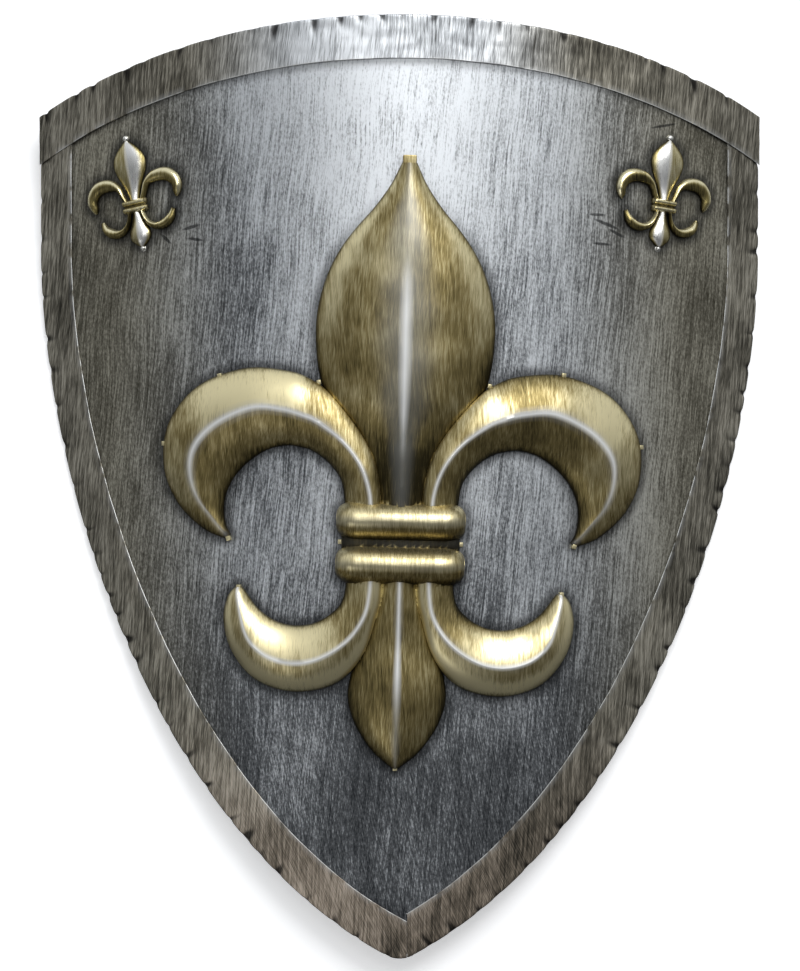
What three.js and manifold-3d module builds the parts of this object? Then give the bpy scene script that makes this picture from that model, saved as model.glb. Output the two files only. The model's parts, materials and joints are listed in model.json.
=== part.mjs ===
// A decorative heater shield: one rolled steel plate, three folded edge strips and three fleurs-de-lis.
// Everything is drawn on the flat sheet as (across, up, out) and then rolled to the plate's curve.
import * as THREE from 'three';
import { mergeVertices } from 'three/addons/utils/BufferGeometryUtils.js';
import Module from 'manifold-3d';

const wasm = await Module();
wasm.setup();

// Driving dimensions in millimetres, measured along the flat sheet.
const bendRadius = 420; // the plate is rolled to this about its long axis
const halfWidth = 253; // middle to side edge
const topY = 305; // highest point of the arched top edge
const topArcRadius = 565;
const shoulderY = 157; // the sides run straight from the corners down to here
const sideEase = 152.5; // how far the straight side still leads the curve below the shoulder
const tipY = -308.3; // where the two side curves would meet in a sharp point
const tipEase = 170; // how far the straight run at the tip leads the curve
const tipAngle = 1.12; // side curve at the tip, in radians from upright
const tipRadius = 20;

const plateThickness = 1.2;
const sheetThickness = 0.8; // edge strips and the pressed ornament
const clearance = 0.3; // left between pieces that touch
const plateEdgeInset = 2; // plate edge to the outside of the folded strips

const sideStripWidth = 25.5;
const topStripWidth = 28.5;
const backFlangeWidth = 14;
const foldBevel = 0.6;
const seam = 4.7; // the left strip ends this far right of the middle
const tongueEnd = -5; // the right strip runs on under it to here
const lapLift = sheetThickness + clearance;

const plateColumns = 25; // an odd count keeps one flat facet on the middle line
const plateRows = 7;

const largeCentre = new THREE.Vector2(0.6, -37.4); // middle of the band that binds the petals
const largeTurn = THREE.MathUtils.degToRad(-1.4);
const smallCentre = new THREE.Vector2(177.5, 183.2);
const leftSmallTurn = THREE.MathUtils.degToRad(10);
const rightSmallTurn = THREE.MathUtils.degToRad(-7);

const petalHeight = 17;
const curlHeight = 14;
const lobeHeight = 13;
const tailHeight = 13;
const bandHeight = 20;
const bandCoreHeight = 7;

const smallPetalHeight = 4.8;
const smallCurlHeight = 4.2;
const smallBandHeight = 5.4;
const pinRadius = 1.1;

const tabWidth = 2.4;
const tabThickness = 2.9; // where a tab leaves the ornament's edge
const tabReach = 2.3; // how far it stands out past the edge
const slotClearance = 0.35;

// The shield lies on one straight facet of each side strip, level with its centre of mass.
const restTilt = THREE.MathUtils.degToRad(7.504);

const frontFace = plateThickness / 2 + clearance; // height that pieces on the front start from

// Rolls a point of the flat sheet: u across, v up, h out from the middle of the plate's thickness.
function roll(u, v, h) {
  const angle = u / bendRadius;
  const radius = bendRadius + h;
  return new THREE.Vector3(radius * Math.sin(angle), v, radius * Math.cos(angle) - bendRadius);
}

function lerp2(a, b, t) {
  return new THREE.Vector2().lerpVectors(a, b, t);
}

// Closed body from a geometry whose shared points are merged and whose empty triangles are dropped.
function solidFrom(geometry) {
  const bare = geometry.clone();
  bare.deleteAttribute('normal');
  bare.deleteAttribute('uv');
  const merged = mergeVertices(bare, 1e-4);
  const index = merged.index.array;
  const kept = [];
  for (let i = 0; i < index.length; i += 3) {
    const [a, b, c] = [index[i], index[i + 1], index[i + 2]];
    if (a !== b && b !== c && c !== a) kept.push(a, b, c);
  }
  const mesh = new wasm.Mesh({
    numProp: 3,
    vertProperties: new Float32Array(merged.attributes.position.array),
    triVerts: new Uint32Array(kept),
  });
  return new wasm.Manifold(mesh);
}

function geometryFrom(solid) {
  const { vertProperties, triVerts } = solid.getMesh();
  const geometry = new THREE.BufferGeometry();
  geometry.setAttribute('position', new THREE.BufferAttribute(new Float32Array(vertProperties), 3));
  geometry.setIndex(Array.from(triVerts));
  return geometry;
}

// Volume inside a set of triangles, negative where they face inwards.
function signedVolume(points, triangles) {
  return triangles.reduce((sum, [a, b, c]) => sum + points[a].dot(points[b].clone().cross(points[c])) / 6, 0);
}

// Joins a run of equal rings of points into a closed body. capTriangles index one ring.
function loft(rings, capTriangles) {
  const size = rings[0].length;
  const points = rings.flat();
  const triangles = [];
  for (let i = 0; i + 1 < rings.length; i++) {
    for (let j = 0; j < size; j++) {
      const a = i * size + j;
      const b = i * size + ((j + 1) % size);
      triangles.push([a, b, b + size], [a, b + size, a + size]);
    }
  }
  const last = (rings.length - 1) * size;
  for (const [a, b, c] of capTriangles) {
    triangles.push([a, c, b], [last + a, last + b, last + c]);
  }
  const insideOut = signedVolume(points, triangles) < 0;
  const ordered = insideOut ? triangles.map(([a, b, c]) => [a, c, b]) : triangles;
  const geometry = new THREE.BufferGeometry().setFromPoints(points);
  geometry.setIndex(ordered.flat());
  return solidFrom(geometry);
}

// --- Outline of the sheet ---

const tipReach = new THREE.Vector2(Math.sin(tipAngle), Math.cos(tipAngle)).multiplyScalar(tipEase);
const sideCurve = new THREE.CubicBezierCurve(
  new THREE.Vector2(halfWidth, shoulderY),
  new THREE.Vector2(halfWidth, shoulderY - sideEase),
  new THREE.Vector2(tipReach.x, tipY + tipReach.y),
  new THREE.Vector2(0, tipY),
);
const tipCentre = new THREE.Vector2(0, tipY + tipRadius / Math.sin(tipAngle));
const tipArcStart = Math.PI / 2 - tipAngle; // where the tip's arc takes over, from straight down

function topEdgeY(u, inset = 0) {
  return topY - topArcRadius + Math.sqrt((topArcRadius - inset) ** 2 - u * u);
}

// The right-hand edge from the corner down to endU at the tip, with the direction into the sheet.
function sideEdge(endU, steps) {
  const edge = [];
  for (let i = 0; i < steps.straight; i++) {
    const v = THREE.MathUtils.lerp(topEdgeY(halfWidth), shoulderY, i / steps.straight);
    edge.push({ point: new THREE.Vector2(halfWidth, v), inward: new THREE.Vector2(-1, 0) });
  }
  for (let i = 0; i <= steps.curve; i++) {
    const point = sideCurve.getPointAt(i / steps.curve);
    const along = sideCurve.getTangentAt(i / steps.curve);
    if (point.x > tipRadius * Math.sin(tipArcStart)) {
      edge.push({ point, inward: new THREE.Vector2(along.y, -along.x) });
    }
  }
  const endAngle = Math.asin(endU / tipRadius);
  for (let i = 0; i <= steps.tip; i++) {
    const angle = THREE.MathUtils.lerp(tipArcStart, endAngle, i / steps.tip);
    const outward = new THREE.Vector2(Math.sin(angle), -Math.cos(angle));
    edge.push({
      point: tipCentre.clone().addScaledVector(outward, tipRadius),
      inward: outward.negate(),
    });
  }
  return edge;
}

// The whole outline, moved in by the plate's inset and seen from straight in front.
function plateShape() {
  const right = sideEdge(0, { straight: 1, curve: 30, tip: 3 });
  const corner = halfWidth - plateEdgeInset;
  const points = [];
  const topSteps = 20;
  for (let i = 0; i < topSteps; i++) {
    const u = THREE.MathUtils.lerp(-corner, corner, i / topSteps);
    points.push(new THREE.Vector2(u, topEdgeY(u, plateEdgeInset)));
  }
  points.push(new THREE.Vector2(corner, topEdgeY(corner, plateEdgeInset)));
  const sides = right.slice(1).map(({ point, inward }) => point.clone().addScaledVector(inward, plateEdgeInset));
  points.push(...sides);
  points.push(...sides.slice(0, -1).reverse().map((p) => new THREE.Vector2(-p.x, p.y)));
  return new THREE.Shape(points.map((p) => new THREE.Vector2(roll(p.x, p.y, 0).x, p.y)));
}

// --- Plate ---

function plateSolid(slots) {
  const slabHeight = 640;
  const slabWidth = 2 * halfWidth + 20;
  const slab = new THREE.BoxGeometry(slabWidth, slabHeight, plateThickness, plateColumns, plateRows, 1);
  const position = slab.attributes.position;
  for (let i = 0; i < position.count; i++) {
    const p = roll(position.getX(i), position.getY(i), position.getZ(i));
    position.setXYZ(i, p.x, p.y, p.z);
  }
  const cutDepth = 150;
  const cutter = new THREE.ExtrudeGeometry(plateShape(), { depth: cutDepth, bevelEnabled: false });
  cutter.translate(0, 0, 20 - cutDepth);
  let plate = solidFrom(slab).intersect(solidFrom(cutter));
  for (const slot of slots) plate = plate.subtract(slot);
  return plate;
}

// --- Folded edge strips ---

// A strip's section: a front flange, a fold round the edge and a shorter back flange.
function foldedSection(width) {
  const inner = plateThickness / 2 + clearance;
  const outer = inner + sheetThickness;
  return [
    [width, outer], [width / 2, outer], [foldBevel, outer], [0, outer - foldBevel],
    [0, -outer], [backFlangeWidth, -outer], [backFlangeWidth, -inner],
    [sheetThickness, -inner], [sheetThickness, inner], [width / 2, inner], [width, inner],
  ];
}

// The right strip's front flange alone, for the tongue that runs under the left strip.
function tongueSection(width) {
  const inner = plateThickness / 2 + clearance;
  const outer = inner + sheetThickness;
  const start = 2.5 * sheetThickness;
  return [[width, outer], [start, outer], [start, inner], [width, inner]];
}

// Sweeps a section along stations, each with an outer and an inner point and a lift off the plate.
function stripSolid(stations, section, width, side) {
  const rings = stations.map(({ outer, inner, lift }) => section.map(([depth, height]) => {
    const p = lerp2(outer, inner, depth / width);
    return roll(side * p.x, p.y, height + Math.sign(height) * lift);
  }));
  const contour = section.map(([depth, height]) => new THREE.Vector2(depth, height));
  const caps = THREE.ShapeUtils.triangulateShape(contour, []);
  return loft(rings, caps);
}

// Stations of a side strip. At the tip the inner points stop where the strip meets the seam.
function sideStations(endU, liftAt) {
  const edge = sideEdge(endU, { straight: 2, curve: 30, tip: 3 });
  const onCurve = edge.filter(({ point }) => point.x > tipRadius * Math.sin(tipArcStart) + 0.01);
  const width = sideStripWidth;
  const lastCurve = onCurve[onCurve.length - 1];
  const lastInner = lastCurve.point.clone().addScaledVector(lastCurve.inward, width);
  const along = new THREE.Vector2(-lastCurve.inward.y, lastCurve.inward.x);
  const corner = lastInner.clone().addScaledVector(along, (endU - lastInner.x) / along.x);
  const tipSteps = edge.length - onCurve.length;
  const stations = edge.map(({ point, inward }, i) => {
    const stepsPast = i + 1 - onCurve.length; // steps past the end of the curve, round the tip
    let inner = point.clone().addScaledVector(inward, width);
    if (stepsPast > 0) inner = lerp2(lastInner, corner, stepsPast / tipSteps);
    if (inner.x < endU || (stepsPast > 0 && lastInner.x < endU)) inner = corner.clone();
    return { outer: point.clone(), inner, lift: liftAt(point) };
  });
  const startGap = 1.5; // the strip starts just under the top strip's fold
  for (const key of ['outer', 'inner']) stations[0][key].y = topEdgeY(stations[0][key].x) - startGap;
  return stations;
}

function leftStrip() {
  const rise = (p) => lapLift * THREE.MathUtils.smoothstep(-p.x, -60, -20);
  return stripSolid(sideStations(-seam, rise), foldedSection(sideStripWidth), sideStripWidth, -1);
}

function rightStrip() {
  const flat = () => 0;
  const strip = stripSolid(sideStations(seam + clearance, flat), foldedSection(sideStripWidth), sideStripWidth, 1);
  const tongueStations = sideStations(tongueEnd, flat).slice(-8);
  return strip.add(stripSolid(tongueStations, tongueSection(sideStripWidth), sideStripWidth, 1));
}

function topStrip() {
  const steps = 26;
  const innerRadius = topArcRadius - topStripWidth;
  const centre = new THREE.Vector2(0, topY - topArcRadius);
  const arcPoint = (radius, t) => {
    const angle = t * Math.asin(halfWidth / radius);
    return new THREE.Vector2(Math.sin(angle), Math.cos(angle)).multiplyScalar(radius).add(centre);
  };
  const stations = [];
  for (let i = 0; i <= steps; i++) {
    const t = 1 - (2 * i) / steps;
    const outer = arcPoint(topArcRadius, t);
    const overSide = halfWidth - sideStripWidth;
    const lift = lapLift * THREE.MathUtils.smoothstep(Math.abs(outer.x), overSide - 45, overSide - 12);
    stations.push({ outer, inner: arcPoint(innerRadius, t), lift });
  }
  return stripSolid(stations, foldedSection(topStripWidth), topStripWidth, -1);
}

// --- Ornaments ---

// Height of a petal's flank from its edge (0) to its crest (1): rounded at the edge, a ridge at the crest.
const ridged = (s) => 0.4 * s + 0.6 * (1 - (1 - s) ** 2.6);
const halfRound = (s) => Math.sqrt(1 - (1 - s) ** 2);

// Control rows from a petal's root to its tip, each [outer edge, crest, inner edge] as [across, up].
const upperCurl = [
  [[13.5, 12], [19, 12], [36, 12]],
  [[13.5, 32], [20, 31], [37, 28]],
  [[17.5, 52], [26, 49], [40, 41]],
  [[28, 72], [37.5, 64.5], [49, 52]],
  [[47, 95], [53, 76.5], [59, 58.5]],
  [[60, 104.5], [63, 81], [66, 60.5]],
  [[76, 110], [77, 84.8], [75, 61.5]],
  [[105, 111], [96, 85.5], [88, 58.5]],
  [[137, 98.5], [119, 75], [101, 50]],
  [[156.5, 74], [133, 60], [110.5, 39.5]],
  [[159, 46], [136.3, 44], [115.5, 28]],
  [[149, 23], [132, 27], [116.3, 17]],
  [[131, 6.5], [122, 13], [114.5, 8.5]],
  [[115, 0], [113.3, 1.5], [111.5, 3]],
];
const lowerLobe = [
  [[11, -12], [18, -12], [34, -12]],
  [[11, -34], [18.7, -33], [35, -30]],
  [[14.5, -49], [21.5, -47.5], [37.5, -39.5]],
  [[22, -72], [29, -60.5], [43, -46]],
  [[36, -89.5], [40, -70.5], [51, -51.5]],
  [[55, -97], [54, -77.5], [60, -54.5]],
  [[76, -97], [69, -79], [71, -54.8]],
  [[96, -88.5], [84, -74.5], [82, -51.5]],
  [[110, -71], [95, -64.5], [91.5, -45]],
  [[115, -52], [100.5, -51], [97.5, -38]],
  [[112.5, -37.5], [104, -38], [100.5, -33.8]],
  [[107.5, -31], [105.3, -30.7], [103, -31]],
];
// Half widths of the upright petals, as [half width, up].
const centrePetal = [
  [17, 12], [19.5, 36], [25, 54], [33, 70], [42, 82], [50, 93], [55.5, 110], [57.8, 128],
  [57.8, 145], [55, 161], [50, 176.5], [42.5, 191], [33, 204], [22, 217], [12, 231.5], [5, 246],
];
const tailPetal = [
  [13, -12], [15, -32], [18, -48], [23, -64], [28.5, -80], [31.5, -94], [31, -105],
  [27, -117], [21.5, -126.5], [14.5, -135.5], [7, -142], [1.5, -146],
];

// The small castings, in the same way.
const smallCurl = [
  [[3.2, 1], [4.6, 1], [6.5, 1]],
  [[5.8, 7], [7.3, 6.6], [9, 6]],
  [[8.5, 14.5], [10.4, 13], [12, 11.5]],
  [[14, 19.8], [15.1, 16.6], [16.2, 12.8]],
  [[21, 21.6], [21, 17.4], [21, 12.8]],
  [[28, 20.2], [26.6, 15.9], [24.9, 11.5]],
  [[33.3, 15], [30.6, 12], [27.5, 8.9]],
  [[35, 8.5], [31.7, 7.6], [28.2, 6.6]],
  [[33.2, 3], [30.8, 3.2], [28.2, 3.7]],
  [[30.5, 0.3], [29.8, 0.8], [29, 1.4]],
];
const smallLobe = [
  [[3, -1], [4.2, -1], [6, -1]],
  [[4.2, -7], [5.2, -6.8], [6.2, -6.5]],
  [[6.5, -13.2], [7.6, -12], [8.8, -10.8]],
  [[10.5, -17.2], [11.6, -15], [12.6, -13]],
  [[16, -18.7], [16.2, -15.7], [16.5, -12.6]],
  [[22, -17.3], [20.7, -14.5], [19.5, -11.2]],
  [[26.3, -13], [24.3, -11.5], [22.6, -9.2]],
  [[27.8, -7], [26.3, -6.3], [25, -6]],
];
const smallPetal = [
  [3.2, 1], [3.6, 5], [5, 10], [7.8, 16.5], [10.6, 22.5], [11.9, 28], [11, 33], [7.2, 38.3], [1.2, 43.4],
];
const smallTail = [[2.6, -1], [3, -6], [5.2, -12], [7.6, -17.5], [7, -22], [3.6, -25.5], [1, -27.2]];

const vector2 = ([x, y]) => new THREE.Vector2(x, y);

// Smooth rows of a curled petal, with its crest height and the lift of its outer edge at each row.
function curledRows(control, count, height, lift) {
  const [outer, crest, inner] = [0, 1, 2].map((k) => new THREE.SplineCurve(control.map((row) => vector2(row[k]))));
  const rows = [];
  for (let i = 0; i <= count; i++) {
    const t = i / count;
    const taper = Math.sqrt(Math.min(1, (1 - t) / lift.taperLength));
    const rise = lift.edge * (1 - THREE.MathUtils.smoothstep(t, lift.from, lift.to));
    const top = height * (lift.root + (1 - lift.root) * THREE.MathUtils.smoothstep(t, 0, 0.4)) * taper;
    rows.push({
      left: outer.getPoint(t),
      crest: crest.getPoint(t),
      right: inner.getPoint(t),
      leftEdge: rise,
      height: Math.max(top, lift.least),
    });
  }
  return rows;
}

// Smooth rows of an upright petal, which is the same on both sides of its crest.
function uprightRows(control, count, height, rootHeight, least) {
  const edge = new THREE.SplineCurve(control.map(vector2));
  const widest = Math.max(...control.map(([half]) => half));
  const rows = [];
  for (let i = 0; i <= count; i++) {
    const t = i / count;
    const { x, y } = edge.getPoint(t);
    const nearRoot = 1 - THREE.MathUtils.smoothstep(t, 0.1, 0.4);
    const swell = height * Math.sqrt(x / widest);
    rows.push({
      left: new THREE.Vector2(-x, y), crest: new THREE.Vector2(0, y), right: new THREE.Vector2(x, y),
      leftEdge: 0, height: Math.max(least, THREE.MathUtils.lerp(swell, rootHeight, nearRoot)),
    });
  }
  return rows;
}

// Rows of a bar across the band, rounded at its two ends.
function barRows({ reach, middle, halfBreadth, height, endRadius, count }) {
  const rows = [];
  for (let i = 0; i <= count; i++) {
    const x = -reach * Math.cos((Math.PI * i) / count);
    const past = Math.max(0, (Math.abs(x) - (reach - endRadius)) / endRadius);
    const shrink = Math.max(0.15, Math.sqrt(Math.max(0, 1 - past * past)));
    const breadth = halfBreadth * (0.45 + 0.55 * shrink);
    rows.push({
      left: new THREE.Vector2(x, middle - breadth), crest: new THREE.Vector2(x, middle),
      right: new THREE.Vector2(x, middle + breadth), leftEdge: 0, height: height * (0.3 + 0.7 * shrink),
    });
  }
  return rows;
}

// Drops the empty slivers that a join can leave beside the body itself.
function largestBody(solid) {
  return solid.decompose().reduce((best, body) => (body.volume() > best.volume() ? body : best));
}

// Turns rows into a body. inset > 0 gives the hollow inside a pressed sheet of that thickness.
function petalSolid(rows, place, profile, flankSteps, inset = 0) {
  const lip = sheetThickness;
  const base = inset > 0 ? frontFace - 2 : frontFace;
  const rings = rows.map(({ left, crest, right, leftEdge, height }) => {
    const heightAt = (s, edge) => edge + lip + (height - edge - lip) * profile(s) - 1.2 * inset;
    const flank = (from, edge) => flankSteps.map((step) => {
      const start = inset / Math.max(from.distanceTo(crest), inset);
      const s = THREE.MathUtils.lerp(start, 1, step);
      return [lerp2(from, crest, s), frontFace + heightAt(s, edge)];
    });
    const up = flank(left, leftEdge);
    const down = flank(right, 0).reverse();
    const ring = [[up[0][0], base], ...up, [crest, frontFace + heightAt(1, 0)], ...down];
    ring.push([down[down.length - 1][0], base]);
    return ring.map(([p, h]) => place(p, h));
  });
  const caps = [];
  for (let j = 1; j + 1 < rings[0].length; j++) caps.push([0, j, j + 1]);
  return loft(rings, caps);
}

// Rows wide and tall enough to have a hollow behind them.
const hollowRows = (rows) => rows.filter(({ left, crest, right, height }) => (
  left.distanceTo(crest) > 4 && right.distanceTo(crest) > 4 && height > 5
));

// Carries a point of an ornament's own flat drawing to its place on the rolled sheet.
function placer(centre, turn) {
  const origin = new THREE.Vector2(0, 0);
  return (p, h) => {
    const q = p.clone().rotateAround(origin, turn).add(centre);
    return roll(q.x, q.y, h);
  };
}

const mirrorRow = (row) => {
  const flip = (p) => new THREE.Vector2(-p.x, p.y);
  return { ...row, left: flip(row.left), crest: flip(row.crest), right: flip(row.right) };
};

// A fastening tab: out from the ornament's edge, down through a slot and bent back under the plate.
function tabSolid({ at, towards }, centre, turn) {
  const back = -plateThickness / 2 - clearance;
  const top = frontFace + sheetThickness;
  const legInside = tabReach - tabThickness;
  const foldedBack = 5;
  const shape = new THREE.Shape([
    [legInside, top], [legInside, back], [-foldedBack, back],
    [-foldedBack, back - sheetThickness], [tabReach, back - sheetThickness], [tabReach, top],
  ].map(vector2));
  const tab = new THREE.ExtrudeGeometry(shape, { depth: tabWidth, bevelEnabled: false });
  tab.translate(0, 0, -tabWidth / 2);
  tab.applyMatrix4(tabMatrix(at, towards, centre, turn));
  return solidFrom(tab);
}

function slotSolid({ at, towards }, centre, turn) {
  const slot = new THREE.BoxGeometry(tabThickness + 2 * slotClearance, 6, tabWidth + 2 * slotClearance);
  slot.translate(tabReach - tabThickness / 2, 0, 0);
  slot.applyMatrix4(tabMatrix(at, towards, centre, turn));
  return solidFrom(slot);
}

// Local frame of a tab: x away from the ornament's edge, y out of the plate.
function tabMatrix(at, towards, centre, turn) {
  const place = placer(centre, turn);
  const origin = place(vector2(at), 0);
  const outward = new THREE.Vector3().subVectors(place(vector2(at).add(vector2(towards)), 0), origin);
  const angle = (vector2(at).rotateAround(new THREE.Vector2(), turn).x + centre.x) / bendRadius;
  const normal = new THREE.Vector3(Math.sin(angle), 0, Math.cos(angle));
  outward.addScaledVector(normal, -outward.dot(normal)).normalize();
  const across = new THREE.Vector3().crossVectors(outward, normal);
  return new THREE.Matrix4().makeBasis(outward, normal, across).setPosition(origin);
}

// Tabs of the large ornament: [at its edge, direction away from it].
const largeTabs = [
  { at: [0, 246], towards: [0, 1] },
  { at: [-121, 104.2], towards: [-0.3, 1] },
  { at: [104, 110], towards: [0.1, 1] },
  { at: [-157, 61], towards: [-1, 0] },
  { at: [156.8, 66], towards: [1, 0.1] },
  { at: [-113, 1], towards: [0.3, -1] },
  { at: [114, 1], towards: [-0.3, -1] },
  { at: [-55, 102], towards: [-0.2, 1] },
  { at: [55, 102], towards: [0.2, 1] },
  { at: [-38, 0], towards: [-1, 0] },
  { at: [38, 0], towards: [1, 0] },
  { at: [-105, -32], towards: [0, 1] },
  { at: [106, -32], towards: [0, 1] },
  { at: [0, -145], towards: [0, -1] },
];

// Pins of a small ornament, with the radius of each domed end.
const smallPins = [{ at: [0, 45], dome: 2.3 }, { at: [0, -28.2], dome: 1.6 }];

function largeFleur() {
  const place = placer(largeCentre, largeTurn);
  const curlEdge = { edge: 6.2, from: 0.26, to: 0.42, taperLength: 0.32, root: 0.85, least: 1.8 };
  const lobeEdge = { edge: 5.5, from: 0.24, to: 0.4, taperLength: 0.3, root: 0.9, least: 1.8 };
  const curl = curledRows(upperCurl, 13, curlHeight, curlEdge);
  const lobe = curledRows(lowerLobe, 11, lobeHeight, lobeEdge);
  const petals = [
    uprightRows(centrePetal, 11, petalHeight, 13, 2),
    uprightRows(tailPetal, 8, tailHeight, 12, 1.6),
    curl, curl.map(mirrorRow), lobe, lobe.map(mirrorRow),
  ];
  const bars = [14, -14.5].map((middle) => barRows({
    reach: 41, middle, halfBreadth: 12.8, height: bandHeight, endRadius: 13, count: 6,
  }));
  const core = barRows({ reach: 38, middle: 0, halfBreadth: 13, height: bandCoreHeight, endRadius: 5, count: 4 });
  const flank = [0, 0.36];
  const round = [0, 0.3];
  const outside = [
    ...petals.map((rows) => petalSolid(rows, place, ridged, flank)),
    ...bars.map((rows) => petalSolid(rows, place, halfRound, round)),
    petalSolid(core, place, halfRound, [0, 0.2]),
  ];
  const hollow = [
    ...petals.map((rows) => petalSolid(hollowRows(rows), place, ridged, [0, 0.4], sheetThickness)),
    ...bars.map((rows) => petalSolid(hollowRows(rows), place, halfRound, [0, 0.25], sheetThickness)),
  ];
  let fleur = wasm.Manifold.union(outside).subtract(wasm.Manifold.union(hollow));
  for (const tab of largeTabs) fleur = fleur.add(tabSolid(tab, largeCentre, largeTurn));
  return largestBody(fleur);
}

// A small solid casting with a peened pin at the top and the bottom.
function smallFleur(centre, turn) {
  const place = placer(centre, turn);
  const free = { edge: 0, from: 0, to: 1, taperLength: 0.2, root: 1, least: 1.5 };
  const curl = curledRows(smallCurl, 6, smallCurlHeight, free);
  const lobe = curledRows(smallLobe, 5, smallCurlHeight, free);
  const ridges = [
    uprightRows(smallPetal, 6, smallPetalHeight, 3.4, 1.2),
    uprightRows(smallTail, 4, smallPetalHeight, 3.2, 1.2),
  ];
  const rolls = [curl, curl.map(mirrorRow), lobe, lobe.map(mirrorRow)];
  const bars = [2.3, -2.3].map((middle) => barRows({
    reach: 8.6, middle, halfBreadth: 1.9, height: smallBandHeight, endRadius: 1.5, count: 2,
  }));
  const core = barRows({ reach: 8, middle: 0, halfBreadth: 2.2, height: 3.8, endRadius: 1, count: 2 });
  return largestBody(wasm.Manifold.union([
    ...ridges.map((rows) => petalSolid(rows, place, ridged, [0])),
    ...rolls.map((rows) => petalSolid(rows, place, halfRound, [0, 0.3])),
    ...[...bars, core].map((rows) => petalSolid(rows, place, halfRound, [0.15])),
    ...smallPins.map((pin) => pinSolid(pin, centre, turn)),
  ]));
}

// A pin with a domed end in front and a peened head behind the plate.
function pinSolid({ at, dome }, centre, turn) {
  const back = -plateThickness / 2 - clearance;
  const headHeight = 0.9;
  const profile = [
    [0, back - headHeight], [2 * pinRadius, back - headHeight], [2 * pinRadius, back], [pinRadius, back],
    [pinRadius, frontFace], [dome, frontFace], [0.7 * dome, frontFace + 0.9 * dome], [0, frontFace + dome],
  ].map(vector2);
  const pin = new THREE.LatheGeometry(profile, 6);
  pin.applyMatrix4(tabMatrix(at, [0, 1], centre, turn));
  return solidFrom(pin);
}

function pinHoleSolid({ at }, centre, turn) {
  const hole = new THREE.CylinderGeometry(pinRadius + slotClearance, pinRadius + slotClearance, 6, 6);
  hole.applyMatrix4(tabMatrix(at, [0, 1], centre, turn));
  return solidFrom(hole);
}

const largeSlots = () => largeTabs.map((tab) => slotSolid(tab, largeCentre, largeTurn));

const smallPlaces = {
  left_small_fleur: [new THREE.Vector2(-smallCentre.x, smallCentre.y), leftSmallTurn],
  right_small_fleur: [smallCentre, rightSmallTurn],
};

const pinHoles = () => Object.values(smallPlaces).flatMap(([centre, turn]) => (
  smallPins.map((pin) => pinHoleSolid(pin, centre, turn))
));

// --- The shield ---

const steelLook = { color: 0x63635f, roughness: 0.45, metalness: 0.85 };
const stripLook = { color: 0x56544a, roughness: 0.5, metalness: 0.8 };
const brassLook = { color: 0x7a6c3c, roughness: 0.38, metalness: 0.9 };
const brightBrassLook = { color: 0x9c8f62, roughness: 0.28, metalness: 0.95 };

function piece(name, solid, look) {
  const mesh = new THREE.Mesh(geometryFrom(solid), new THREE.MeshStandardMaterial(look));
  mesh.name = name;
  return mesh;
}

const shield = new THREE.Group();
shield.add(
  piece('shield_plate', plateSolid([...largeSlots(), ...pinHoles()]), steelLook),
  piece('left_rim', leftStrip(), stripLook),
  piece('right_rim', rightStrip(), stripLook),
  piece('top_rim', topStrip(), stripLook),
  piece('large_fleur_de_lis', largeFleur(), brassLook),
  ...Object.entries(smallPlaces).map(([name, place]) => piece(name, smallFleur(...place), brightBrassLook)),
);
shield.rotation.x = restTilt;
const group = new THREE.Group();
group.add(shield);

// The origin is the middle of the bounding box's bottom face.
const extent = new THREE.Box3().setFromObject(group, true);
const middle = extent.getCenter(new THREE.Vector3());
shield.position.set(-middle.x, -middle.y, -extent.min.z);
export default group;
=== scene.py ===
import json
import math
import random

import bpy
from mathutils import Matrix, Vector, kdtree, noise


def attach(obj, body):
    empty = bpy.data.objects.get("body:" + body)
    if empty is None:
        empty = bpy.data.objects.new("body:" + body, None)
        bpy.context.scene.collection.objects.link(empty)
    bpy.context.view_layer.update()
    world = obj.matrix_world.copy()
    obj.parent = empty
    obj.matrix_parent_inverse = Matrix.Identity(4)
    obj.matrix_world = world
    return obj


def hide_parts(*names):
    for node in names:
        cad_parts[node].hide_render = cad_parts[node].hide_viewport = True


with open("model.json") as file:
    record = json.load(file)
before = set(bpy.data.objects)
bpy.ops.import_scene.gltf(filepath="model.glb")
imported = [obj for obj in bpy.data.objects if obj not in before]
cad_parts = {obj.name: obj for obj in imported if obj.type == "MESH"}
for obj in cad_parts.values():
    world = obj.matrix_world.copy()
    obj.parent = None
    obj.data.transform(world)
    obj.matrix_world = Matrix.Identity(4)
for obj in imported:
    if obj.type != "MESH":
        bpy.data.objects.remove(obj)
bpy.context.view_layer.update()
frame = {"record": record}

mm = 0.001
mergeWithin = 0.00001  # metres

# The sheet's drawing, in mm on the flat: u across, v up, h out from the middle of the plate
sheet = {
    "bendRadius": 420,
    "halfWidth": 253,
    "topV": 305,
    "topArcRadius": 565,
    "shoulderV": 157,
    "sideEase": 152.5,
    "tipV": -308.3,
    "tipEase": 170,
    "tipAngle": 1.12,
    "tipRadius": 20,
    "frontFace": 0.9,  # what lies on the plate starts this far out
    "floor": 0.78,  # the undersides of the ornaments, just clear of the plate's front
}

# The pad on the plate's back gives the lie of the shield: its slope, and one known point
padOnSheet = {"u": -3.507, "v": -15.238, "h": -0.716}
backPad = next(m for m in frame["record"]["mounts"] if m["name"] == "back_centre")
restTilt = math.asin(backPad["axis"][1])


def rolled(u, v, h):
    angle = u / sheet["bendRadius"]
    radius = sheet["bendRadius"] + h
    return Vector((radius * math.sin(angle), v, radius * math.cos(angle) - sheet["bendRadius"]))


tilt = Matrix.Rotation(restTilt, 4, "X")
padPoint = rolled(padOnSheet["u"], padOnSheet["v"], padOnSheet["h"])
lie = Matrix.Translation(Vector(backPad["pos_m"]) - tilt @ (padPoint * mm)) @ tilt @ Matrix.Scale(mm, 4)


def seat(u, v, h):
    return lie @ rolled(u, v, h)


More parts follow.
